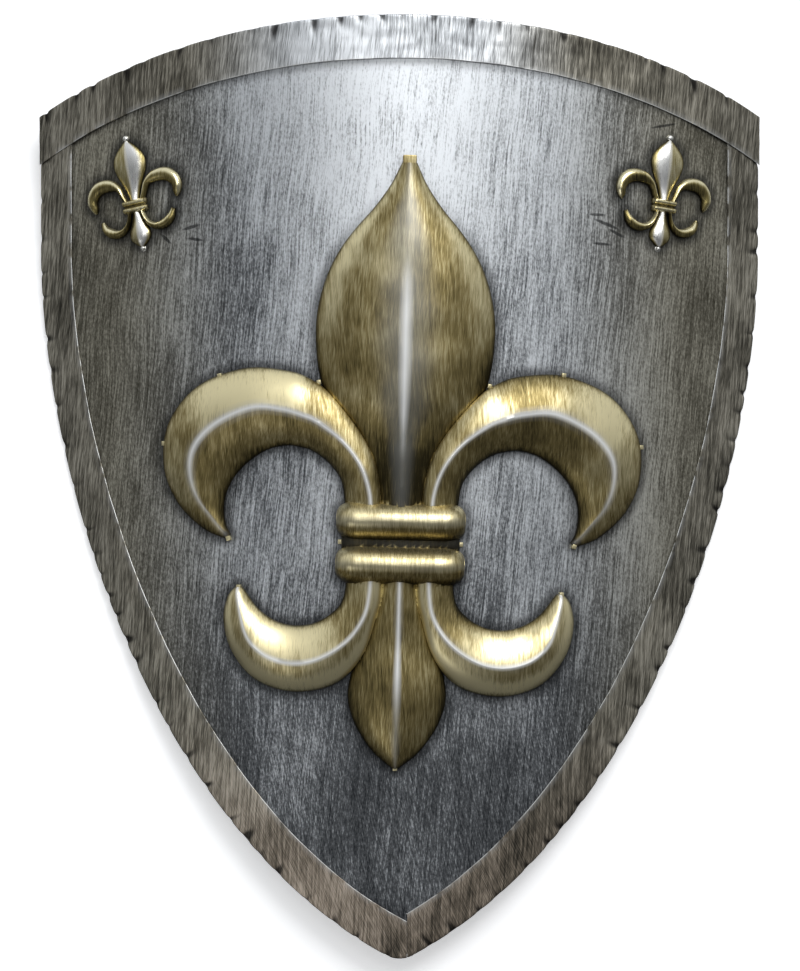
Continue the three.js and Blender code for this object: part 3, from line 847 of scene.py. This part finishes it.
# 0 where patina fills a hollow and painted shade falls (the groove between the rings, the rings' lower
# sides, the petal's root), 1 on what stands clear of the plate
def lowPatinaAndShade(m):
    form, clear = m["form"], smooth(m["rise"], 0.8, 7)
    if form == "core":
        return 0
    if form.endswith("Ring"):
        return 1 - 0.9 * smooth(-m["side"], 0.55, 0.9)
    if form == "petal":
        return clear * (0.14 + 0.86 * smooth(m["t"], 0.12, 0.32))
    return clear


# How bright the line along a crest is: silver rubbed bare, with a painted highlight where the fold
# catches the light
def crestShine(m):
    form, t = m["form"], m["t"]
    if form == "core" or form.endswith("Ring"):
        return 0
    if form == "petal":
        return smooth(t, 0.12, 0.3) * (1 - smooth(t, 0.5, 0.75)) * bell(m["offCrest"], 0.9)
    if form == "tail":
        return (1 - 0.8 * smooth(t, 0.35, 0.7)) * bell(m["offCrest"], 1.2)
    if form.endswith("Curl"):
        width = mixed(1, 2, smooth(t, 0.2, 0.5))
        return (1 - 0.7 * smooth(t, 0.7, 0.95)) * bell(m["offCrest"], width)
    return bell(m["offCrest"], 1.1)


# 1 on the topmost part of a form, where it is greyed
def topmost(m):
    return smooth(m["share"], 0.8, 1) if m["form"] == "petal" else 0.5 * smooth(m["share"], 0.94, 1)


smallFleur = {
    "petalHeight": 4.8,
    "curlHeight": 4.2,
    "bandHeight": 5.4,
    "coreHeight": 2.6,
    "dimple": 0.18,
    "lip": 0.5,
    "floorStep": 0.012,
    "curlLift": {"edge": 0, "start": 0, "end": 1, "taperLength": 0.2, "root": 1, "least": 1.5},
    "pins": [((0, 45), 2.3), ((0, -28.2), 1.6)],  # where each pin is, and the radius of its dome
    "pinFlat": 0.95,
    "headRadius": 2.2,
    "headLength": 2.4,
    "headBevel": 0.35,
    "pinFinish": {"outer": 0.8, "rise": 0.9, "share": 0.9},
}
smallPlaces = {
    "left_small_fleur": (Vector((-177.5, 183.2)), math.radians(10)),
    "right_small_fleur": (Vector((177.5, 183.2)), math.radians(-7)),
}


def makePin(dome):
    clearSelection()
    bpy.ops.mesh.primitive_uv_sphere_add(segments=24, ring_count=12, radius=dome)
    pin = bpy.context.object
    pin.rotation_euler.x = math.radians(90)
    pin.scale.z = smallFleur["pinFlat"]
    pin.location.y = sheet["frontFace"] + 0.1
    bpy.ops.object.transform_apply(location=True, rotation=True, scale=True)
    clearSelection()
    bpy.ops.mesh.primitive_cylinder_add(vertices=20, radius=1, depth=1, rotation=(math.radians(90), 0, 0))
    head = bpy.context.object
    head.scale = (smallFleur["headRadius"], smallFleur["headRadius"], smallFleur["headLength"])
    bpy.ops.object.transform_apply(location=False, rotation=True, scale=True)
    head.location.y = -sheet["frontFace"] + 0.35
    bpy.ops.object.transform_apply(location=True, rotation=False, scale=False)
    editAll()
    bpy.ops.mesh.bevel(offset=smallFleur["headBevel"], segments=3, affect="EDGES")
    bpy.ops.object.mode_set(mode="OBJECT")
    joinInto(pin, [head])
    return pin


def makeSmallFleur(node, centre, turn, material, allMarks):
    o = smallFleur
    place = placer(centre, turn)
    marks = []
    curl = curledRows(smallCurl, 60, o["curlHeight"], o["curlLift"])
    lobe = curledRows(smallLobe, 44, o["curlHeight"], o["curlLift"])
    ring = {"reach": 8.6, "halfBreadth": 2.1, "height": o["bandHeight"], "endRadius": 1.5, "count": 20}
    core = {"reach": 8, "halfBreadth": 2.2, "height": o["coreHeight"], "endRadius": 1, "count": 14}
    forms = [
        ("petal", uprightRows(smallPetal, 56, o["petalHeight"], 3.4, least=1.2), ridgedFlank, 12),
        ("upperRing", barRows(2.3, **ring), roundFlank, 8),
        ("lowerRing", barRows(-2.3, **ring), roundFlank, 8),
        ("core", barRows(0, **core), roundFlank, 6),
        ("tail", uprightRows(smallTail, 40, o["petalHeight"], 3.2, least=1.2), ridgedFlank, 10),
        ("rightCurl", curl, roundFlank, 8),
        ("leftCurl", mirrored(curl), roundFlank, 8),
        ("rightLobe", lobe, roundFlank, 8),
        ("leftLobe", mirrored(lobe), roundFlank, 8),
    ]
    fleur = weldForms(node.replace("_small_fleur", "SmallFleur"), forms, place, o, marks)
    inward = -math.copysign(1, centre.x)  # the petals get a painted silver-white highlight on the side towards the middle

    def innerHighlight(m):
        facing = m["side"] * inward
        upright = m["form"] in ("petal", "tail")
        return smooth(facing, -0.05, 0.1) * (1 - smooth(facing, 0.6, 0.85)) if upright else 0

    def rubbed(m):
        fixed = {"petal": 0.45, "tail": 0.45, "upperRing": 0.7, "lowerRing": 0.7, "core": -1}
        outward = m["side"] if m["form"].endswith("Lobe") else -m["side"]
        return fixed[m["form"]] if m["form"] in fixed else smooth(outward, -0.1, 0.6)

    finishValues(fleur, marks, {
        # crest: a silver line with a painted highlight along the petals' crests
        "crest": lambda m: 0.5 * bell(m["offCrest"], 0.7) if m["form"] in ("petal", "tail") else 0,
        "outer": rubbed,
        "rise": lambda m: smooth(m["rise"], 0.4, 3.2),
        "share": innerHighlight,
    })
    pins = []
    for at, dome in o["pins"]:
        pin = makePin(dome)
        settle(pin, surfaceMatrix(at, (0, 1), centre, turn))
        writeSame(pin, o["pinFinish"])
        pins.append(pin)
    joinInto(fleur, pins)
    shade(fleur, 26)
    handOver(fleur, node, material)
    allMarks.extend(marks)
    print(fleur.name, "cast:", len(fleur.data.polygons), "faces")


def newFinish(name):
    material = bpy.data.materials.new(name)
    material.use_nodes = True
    tree = material.node_tree
    tree.nodes.clear()
    out = tree.nodes.new("ShaderNodeOutputMaterial")
    shader = tree.nodes.new("ShaderNodeBsdfPrincipled")
    tree.links.new(shader.outputs["BSDF"], out.inputs["Surface"])
    return material, tree, shader


def wire(tree, socket, value):
    if isinstance(value, bpy.types.NodeSocket):
        tree.links.new(value, socket)
    else:
        socket.default_value = value


# Adds a node; each input gets a socket to follow or a value to keep
def addNode(tree, kind, inputs):
    node = tree.nodes.new("ShaderNode" + kind)
    for name, given in inputs.items():
        wire(tree, node.inputs[name], given)
    return node


def reckon(tree, operation, a, b=0):
    node = addNode(tree, "Math", {0: a, 1: b})
    node.operation = operation
    return node.outputs[0]


def times(tree, a, b):
    return reckon(tree, "MULTIPLY", a, b)


# Adds up fields, each times its weight
def total(tree, *parts):
    parts = [times(tree, field, weight) for field, weight in parts]
    whole = parts[0]
    for part in parts[1:]:
        whole = reckon(tree, "ADD", whole, part)
    return whole


def ramp(tree, field, low, high, start=0, end=1, kind="SMOOTHSTEP"):
    node = addNode(tree, "MapRange", {
        "Value": field, "From Min": low, "From Max": high, "To Min": start, "To Max": end,
    })
    node.interpolation_type = kind
    return node.outputs["Result"]


def blend(tree, amount, a, b):
    node = tree.nodes.new("ShaderNodeMix")
    node.data_type = "RGBA"
    for name, given in (("Factor", amount), ("A", a), ("B", b)):
        wire(tree, node.inputs[name], given)
    return node.outputs["Result"]


def value(tree, name):
    node = tree.nodes.new("ShaderNodeAttribute")
    node.attribute_name = name
    return node.outputs["Fac"]


# Object coordinates laid flat on the plate, so that a stroke along Y runs up the shield
def plateCoordinates(tree):
    where = tree.nodes.new("ShaderNodeTexCoord").outputs["Object"]
    return addNode(tree, "Mapping", {"Vector": where, "Rotation": (-restTilt, 0, 0)}).outputs["Vector"]


def noiseField(tree, coordinates, detail, roughness):
    inputs = {"Vector": coordinates, "Scale": 1, "Detail": detail, "Roughness": roughness}
    return addNode(tree, "TexNoise", inputs).outputs["Fac"]


def blotches(tree, coordinates, perMetre, detail, roughness=0.55, squash=1):
    scale = (perMetre, perMetre * squash, perMetre)
    stretch = addNode(tree, "Mapping", {"Vector": coordinates, "Scale": scale})
    return noiseField(tree, stretch.outputs["Vector"], detail, roughness)


# Brush strokes: long thin noise, turned and made to wander a little
def strokes(tree, coordinates, width, length, turn, wander, seed, detail):
    drift = addNode(tree, "TexNoise", {"Vector": coordinates, "Scale": 14, "Detail": 1})
    sway = tree.nodes.new("ShaderNodeVectorMath")
    sway.operation = "MULTIPLY_ADD"
    for i, given in enumerate((drift.outputs["Color"], (wander, wander, wander), coordinates)):
        wire(tree, sway.inputs[i], given)
    lay = addNode(tree, "Mapping", {
        "Vector": sway.outputs["Vector"],
        "Location": (seed, seed * 0.37, seed * 0.71),
        "Rotation": (0, 0, turn),
    })
    scale = (1 / width, 1 / length, 1 / (6 * width))
    stretch = addNode(tree, "Mapping", {"Vector": lay.outputs["Vector"], "Scale": scale})
    return noiseField(tree, stretch.outputs["Vector"], detail, 0.6)


# Joins colour, metal, roughness and relief to the shader
def dress(tree, shader, colour, metallic, roughness, height, strength, distance):
    bump = addNode(tree, "Bump", {"Strength": strength, "Distance": distance, "Height": height})
    look = {"Base Color": colour, "Metallic": metallic, "Roughness": roughness, "Normal": bump.outputs[0]}
    for name, given in look.items():
        wire(tree, shader.inputs[name], given)


def axes(tree, coordinates):
    split = addNode(tree, "SeparateXYZ", {"Vector": coordinates})
    return split.outputs["X"], split.outputs["Y"]


steelColours = {  # the middle of the plate, and olive towards its sides
    "dark": (0.030, 0.033, 0.037, 1),
    "mid": (0.19, 0.20, 0.21, 1),
    "silver": (0.80, 0.83, 0.86, 1),
    "oliveDark": (0.066, 0.060, 0.042, 1),
    "oliveMid": (0.25, 0.235, 0.185, 1),
    "olive": (0.62, 0.59, 0.48, 1),
}


# Painted highlight: the lamp's reflection up the middle of the shield, most of all at the top, painted in
# as extra rubbing
def paintedHighlight(tree, x, y):
    inMiddle = ramp(tree, reckon(tree, "ABSOLUTE", reckon(tree, "ADD", x, 0.008)), 0.05, 0.14, 1, 0)
    return times(tree, inMiddle, ramp(tree, y, 0.08, 0.26))


# Painted shade of a short dent or scratch: centre on the sheet, half length and half width in metres, and
# its turn
def dentShade(tree, at, centre, halfLength, halfWidth, turn):
    place = {"Location": (*centre, 0), "Rotation": (0, 0, turn), "Scale": (halfWidth, halfLength, 1)}
    lay = addNode(tree, "Mapping", {"Vector": at, **place})
    lay.vector_type = "TEXTURE"
    x, y = axes(tree, lay.outputs["Vector"])
    return ramp(tree, total(tree, (x, x), (y, y)), 0.3, 1.1, 1, 0)


dentShades = [
    ((0.1350, 0.1790), 0.010, 0.0013, 1.20), ((0.1290, 0.1850), 0.006, 0.0011, 1.55),
    ((0.1420, 0.1730), 0.007, 0.0012, 1.10), ((0.1320, 0.1660), 0.007, 0.0011, 1.50),
    ((-0.1360, 0.1770), 0.007, 0.0013, -1.30), ((-0.1330, 0.1690), 0.006, 0.0012, 1.40),
    ((-0.1530, 0.1700), 0.006, 0.0013, 0.80), ((0.1735, 0.2445), 0.010, 0.0010, -1.37),
]


plateRub = {  # how much each kind of rubbing adds
    "fine": 0.36,
    "broad": 0.36,
    "leaning": 0.5,
    "leaningBroad": 0.22,
    "grain": 0.28,
    "patches": 0.3,
    "sides": -0.03,
    # low: painted shade, darker towards the tip, as the light falls from the top
    "low": -0.075,
    # middle: the painted highlight at the top middle
    "middle": 0.08,
    # a painted sheen right of the big petal, where the light falls from the right
    "sheenBesidePetal": 0.05,
    "back": -0.07,
}
plateDark = {"shadeAndPatina": 0.72, "dentShade": 0.75, "colour": (0.014, 0.015, 0.016, 1)}
plateStrokes = [  # fine, broad, leaning: width and length in metres, turn, wander, seed, detail
    (0.00034, 0.009, 0.14, 0.001, 1.3, 3),
    (0.0010, 0.042, 0.09, 0.008, 5.1, 2),
    (0.0005, 0.012, -0.24, 0.002, 9.7, 3),
]


def plateFinish():
    material, tree, shader = newFinish("rubbedSteel")
    tones, rub = steelColours, plateRub
    at = plateCoordinates(tree)
    x, y = axes(tree, at)
    fine, broad, leaning = (strokes(tree, at, *row) for row in plateStrokes)
    patches = reckon(tree, "SUBTRACT", blotches(tree, at, 20, 4, 0.6, 0.5), 0.5)
    grain = blotches(tree, at, 900, 2, 0.6, 0.5)
    sides = ramp(tree, reckon(tree, "ABSOLUTE", x), 0.09, 0.20)
    # low: towards the tip, where the strokes slant and painted shade darkens the plate
    low = ramp(tree, y, -0.04, -0.20)
    front = value(tree, "front")
    # the painted highlight, on the front only
    middle = times(tree, paintedHighlight(tree, x, y), front)
    # A painted sheen right of the big petal, from the light on the right
    fromPetal = reckon(tree, "ABSOLUTE", reckon(tree, "SUBTRACT", x, 0.05))
    sheenBesidePetal = times(tree, ramp(tree, fromPetal, 0.06, 0.17, 1, 0), ramp(tree, y, -0.10, 0.02))
    upright = total(tree, (fine, rub["fine"]), (broad, rub["broad"]))
    slanted = total(tree, (leaning, rub["leaning"]), (broad, rub["leaningBroad"]))
    rubbed = total(
        tree,
        (upright, ramp(tree, low, 0, 1, 1, 0.3)),
        (slanted, ramp(tree, low, 0, 1, 0, 0.7)),
        (grain, rub["grain"]),
        (patches, rub["patches"]),
        (sides, rub["sides"]),
        (low, rub["low"]),
        (middle, rub["middle"]),
        (sheenBesidePetal, rub["sheenBesidePetal"]),
        (ramp(tree, front, 0, 1, 1, 0), rub["back"]),
    )
    silver = ramp(tree, rubbed, 0.44, 0.66)
    middling = ramp(tree, rubbed, 0.30, 0.55)
    darkTone = blend(tree, sides, tones["dark"], tones["oliveDark"])
    midTone = blend(tree, sides, tones["mid"], tones["oliveMid"])
    lightTone = blend(tree, sides, tones["silver"], tones["olive"])
    colour = blend(tree, silver, blend(tree, middling, darkTone, midTone), lightTone)
    # Patina with painted shade round the ornaments and below the edging, and the painted shade of the
    # dents
    shadow = times(tree, value(tree, "shadeAndPatina"), plateDark["shadeAndPatina"])
    for centre, halfLength, halfWidth, turn in dentShades:
        mark = times(tree, dentShade(tree, at, centre, halfLength, halfWidth, turn), plateDark["dentShade"])
        shadow = reckon(tree, "MAXIMUM", shadow, mark)
    colour = blend(tree, times(tree, shadow, front), colour, plateDark["colour"])
    gloss = ramp(tree, silver, 0, 1, 0.5, 0.4, "LINEAR")
    dress(tree, shader, colour, 0.9, gloss, rubbed, 0.25, 0.0003)
    return material


edgingColours = {
    "dark": (0.036, 0.033, 0.026, 1),
    "mid": (0.21, 0.195, 0.155, 1),
    "light": (0.64, 0.60, 0.50, 1),
    "lowMid": (0.26, 0.215, 0.165, 1),
    "lowLight": (0.68, 0.58, 0.48, 1),
    # the tones of the painted highlight at the top middle
    "highlightMid": (0.30, 0.315, 0.33, 1),
    "highlightPale": (0.86, 0.89, 0.92, 1),
    # lip: the colour of the painted highlight along the inner edge
    "lip": (0.78, 0.79, 0.78, 1),
    "puckerShade": (0.012, 0.011, 0.010, 1),
}
edgingStrokes = [  # fine, broad, slanted, as on the plate
    (0.0004, 0.010, 0.16, 0.002, 2.2, 3),
    (0.0012, 0.030, 0.06, 0.006, 7.4, 2),
    (0.0005, 0.013, -0.45, 0.003, 4.8, 3),
]
edgingRub = {
    "fine": 0.5,
    "broad": 0.5,
    "slanted": 0.6,
    "slantedBroad": 0.4,
    "patches": 0.45,
    # middle: the painted highlight at the top middle
    "middle": 0.11,
    "lowLeft": 0.03,
    "lowRight": -0.05,
}


def edgingFinish():
    material, tree, shader = newFinish("streakedEdging")
    tones, rub = edgingColours, edgingRub
    at = plateCoordinates(tree)
    x, y = axes(tree, at)
    fine, broad, slanted = (strokes(tree, at, *row) for row in edgingStrokes)
    patches = reckon(tree, "SUBTRACT", blotches(tree, at, 30, 4, 0.62, 0.6), 0.5)
    low = ramp(tree, y, -0.12, -0.27)
    # the painted highlight at the top middle
    middle = paintedHighlight(tree, x, y)
    upright = total(tree, (fine, rub["fine"]), (broad, rub["broad"]))
    tipward = total(tree, (slanted, rub["slanted"]), (broad, rub["slantedBroad"]))
    rubbed = total(
        tree,
        (upright, ramp(tree, low, 0, 1, 1, 0.2)),
        (tipward, ramp(tree, low, 0, 1, 0, 0.8)),
        (patches, rub["patches"]),
        (middle, rub["middle"]),
        (low, ramp(tree, x, -0.03, 0.04, rub["lowLeft"], rub["lowRight"])),
    )
    light = ramp(tree, rubbed, 0.46, 0.72)
    middling = ramp(tree, rubbed, 0.30, 0.56)
    # Under the painted highlight the tones turn lighter and cooler
    midTone = blend(tree, middle, blend(tree, low, tones["mid"], tones["lowMid"]), tones["highlightMid"])
    lightTone = blend(tree, low, tones["light"], tones["lowLight"])
    lightTone = blend(tree, middle, lightTone, tones["highlightPale"])
    colour = blend(tree, light, blend(tree, middling, tones["dark"], midTone), lightTone)
    broken = ramp(tree, blotches(tree, at, 90, 2), 0.36, 0.52)
    # A painted highlight along each strip's inner edge, where it catches the light, broken in places
    lip = times(tree, times(tree, value(tree, "lip"), broken), 0.8)
    colour = blend(tree, lip, colour, tones["lip"])
    # Painted shade in the puckers along the outer edge
    colour = blend(tree, ramp(tree, value(tree, "crimp"), 0.1, 0.8, 0, 0.9), colour, tones["puckerShade"])
    gloss = ramp(tree, light, 0, 1, 0.52, 0.4, "LINEAR")
    dress(tree, shader, colour, 0.88, gloss, rubbed, 0.25, 0.0003)
    return material


# spread scales the strokes to the ornament
def brassFinish(name, tones, spread):
    material, tree, shader = newFinish(name)
    at = plateCoordinates(tree)
    fine = strokes(tree, at, 0.0004 * spread, 0.010 * spread, 0.10, 0.003, 3.9, 3)
    broad = strokes(tree, at, 0.0015 * spread, 0.026 * spread, -0.05, 0.008, 6.6, 2)
    patches = reckon(tree, "SUBTRACT", blotches(tree, at, 26 / spread, 3, 0.6, 0.8), 0.5)
    outer, rise, share, crest = (value(tree, layer) for layer in ("outer", "rise", "share", "crest"))
    rubbed = total(
        tree,
        (fine, 0.45),
        (broad, 0.35),
        (patches, 0.5),
        # outer: rubbing with painted highlights and painted shade
        (ramp(tree, outer, 0, 1, tones["innerRub"], tones["outerRub"], "LINEAR"), 1),
        # rise: patina with painted shade on the low parts
        (ramp(tree, rise, 0, 1, -0.10, 0.04), 1),
    )
    gold = ramp(tree, rubbed, 0.26, 0.56)
    pale = ramp(tree, rubbed, 0.46, 0.78)
    colour = blend(tree, pale, blend(tree, gold, tones["dark"], tones["gold"]), tones["pale"])
    colour = blend(tree, times(tree, share, tones["greyed"]), colour, tones["grey"])
    colour = blend(tree, times(tree, crest, 0.92), colour, tones["silver"])
    # Near-black in the lowest places: patina with painted shade
    colour = blend(tree, ramp(tree, rise, 0, 0.3, 0.6, 0), colour, tones["groove"])
    metallic = ramp(tree, crest, 0, 1, 0.95, 0.35, "LINEAR")
    gloss = ramp(tree, pale, 0, 1, tones["rough"], tones["glossy"], "LINEAR")
    dress(tree, shader, colour, metallic, gloss, rubbed, 0.2, 0.0004)
    return material


largeTones = {
    "dark": (0.045, 0.036, 0.014, 1),
    "gold": (0.30, 0.235, 0.095, 1),
    "pale": (0.88, 0.78, 0.47, 1),
    "grey": (0.30, 0.305, 0.29, 1),
    "silver": (0.90, 0.91, 0.90, 1),
    "groove": (0.014, 0.012, 0.008, 1),
    "innerRub": 0.02,
    "outerRub": 0.36,
    "greyed": 0.6,
    "rough": 0.42,
    "glossy": 0.33,
}
smallTones = {
    "dark": (0.05, 0.042, 0.02, 1),
    "gold": (0.38, 0.31, 0.12, 1),
    "pale": (0.92, 0.84, 0.55, 1),
    "grey": (0.86, 0.87, 0.88, 1),
    "silver": (0.96, 0.96, 0.94, 1),
    "groove": (0.012, 0.011, 0.008, 1),
    "innerRub": -0.04,
    "outerRub": 0.32,
    "greyed": 0.85,
    "rough": 0.36,
    "glossy": 0.2,
}


studio = {
    "viewDistance": 2600,  # mm out from the crown of the plate
    "viewHeight": 628.4,  # mm of the sheet seen from top to bottom of the view
    "floorSize": 12,
    "lamps": [  # name, place, size, power and what it points at; the glow is seen in the top of the plate
        ("keyLight", (0.55, 1.3, 1.9), (1.3, 1.2), 30, (0, 0.05, 0.05)),
        ("glowLight", (0.02, 0.30, 2.1), (0.62, 0.5), 2.9, (0, 0.1, 0.05)),
        ("fillLight", (-0.9, -1.1, 1.3), (0.9, 0.9), 2.8, (0, -0.1, 0.05)),
    ],
    "domeColour": (0.93, 0.96, 1, 1),
    "domeDark": 0.13,
    "domeLight": 0.7,
    "floorLook": {
        "Base Color": (0.93, 0.935, 0.945, 1), "Roughness": 0.9,
        "Emission Color": (1, 1, 1, 1), "Emission Strength": 0.42,
    },
}


def addLamp(name, at, size, power, aim):
    data = bpy.data.lights.new(name, "AREA")
    data.shape = "RECTANGLE"
    data.size, data.size_y = size
    data.energy = power
    light = bpy.data.objects.new(name, data)
    bpy.context.collection.objects.link(light)
    light.location = at
    light.rotation_euler = (Vector(aim) - Vector(at)).to_track_quat("-Z", "Y").to_euler()


def setStudio():
    clearSelection()
    bpy.ops.mesh.primitive_plane_add(size=studio["floorSize"], location=(0, 0, -0.0004))
    floor = bpy.context.object
    floor.name = "floor"
    material, _, shader = newFinish("paleFloor")
    for name, given in studio["floorLook"].items():
        shader.inputs[name].default_value = given
    floor.data.materials.append(material)
    floor.visible_glossy = False  # keeps the floor's white out of the metal
    for settings in studio["lamps"]:
        addLamp(*settings)
    world = bpy.data.worlds.new("softDome")
    world.use_nodes = True
    tree = world.node_tree
    _, y = axes(tree, tree.nodes.new("ShaderNodeTexCoord").outputs["Generated"])
    # lighter beyond the shield's top, dark beyond its tip
    glow = ramp(tree, y, -0.38, 0.75, studio["domeDark"], studio["domeLight"])
    background = tree.nodes["Background"]
    background.inputs["Color"].default_value = studio["domeColour"]
    tree.links.new(glow, background.inputs["Strength"])
    bpy.context.scene.world = world
    bpy.context.scene.view_settings.view_transform = "Standard"


def setCamera():
    data = bpy.data.cameras.new("frontView")
    camera = bpy.data.objects.new("frontView", data)
    bpy.context.collection.objects.link(camera)
    data.sensor_width = 36
    data.lens = data.sensor_width * studio["viewDistance"] / studio["viewHeight"]
    out = lie @ Vector((0.3, -0.1, studio["viewDistance"]))
    camera.matrix_world = Matrix.Translation(out) @ tilt
    data.clip_end = 50
    bpy.context.scene.camera = camera


setCamera()
brass = brassFinish("antiqueBrass", largeTones, 1.0)
brightBrass = brassFinish("brightBrass", smallTones, 0.6)
ornamentMarks = makeLargeFleur(brass)
for node, (centre, turn) in smallPlaces.items():
    makeSmallFleur(node, centre, turn, brightBrass, ornamentMarks)
makePlate(ornamentMarks, plateFinish())
makeStrips(edgingFinish())
setStudio()
print("studio set")
